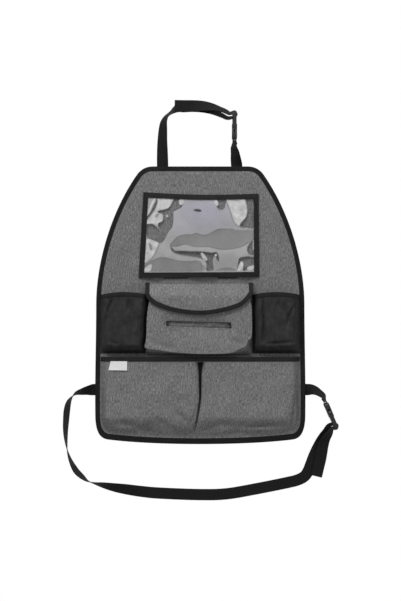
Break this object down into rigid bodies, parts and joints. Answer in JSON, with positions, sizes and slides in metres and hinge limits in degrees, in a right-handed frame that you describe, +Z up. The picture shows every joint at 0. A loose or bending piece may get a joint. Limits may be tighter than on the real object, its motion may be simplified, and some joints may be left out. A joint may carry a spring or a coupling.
{
  "type": "hanging car seat organizer",
  "caption": "Grey cloth organizer for the back of a car seat, with a clear tablet window, tissue pocket, two mesh pockets, two lower pockets and webbing straps with side-release buckles.",
  "frame": {"origin": "centre of the panel's flat back face", "axes": "+Z up as it hangs, +Y out of the back towards the seat, the pockets face -Y"},
  "size_m": [0.6047, 0.0519, 0.8829],
  "materials": {
    "heather_cloth": "matte",
    "black_tape": "matte",
    "black_mesh": "matte",
    "clear_film": "gloss",
    "webbing": "matte",
    "buckle_plastic": "satin",
    "lining": "matte",
    "padding": "matte",
    "label": "satin"
  },
  "bodies": {
    "root": {"panel_face": "heather_cloth", "panel_padding": "padding", "panel_lining": "lining", "panel_binding": "black_tape", "window_film": "clear_film", "window_frame": "black_tape", "window_hook_left": "black_tape", "window_loop_left": "black_tape", "window_hook_right": "black_tape", "window_loop_right": "black_tape", "tissue_pocket_strip": "heather_cloth", "tissue_pocket_front": "heather_cloth", "tissue_flap": "heather_cloth", "tissue_flap_binding": "black_tape", "mesh_pocket_left": "black_mesh", "mesh_pocket_left_band": "black_tape", "mesh_pocket_right": "black_mesh", "mesh_pocket_right_band": "black_tape", "lower_pocket_cloth": "heather_cloth", "lower_pocket_band": "black_tape", "side_label": "label", "top_strap_long": "webbing", "top_strap_short": "webbing", "top_buckle_plug": "buckle_plastic", "top_buckle_socket": "buckle_plastic", "lower_strap_long": "webbing", "lower_strap_short": "webbing", "lower_buckle_plug": "buckle_plastic", "lower_buckle_socket": "buckle_plastic"}
  },
  "joints": []
}
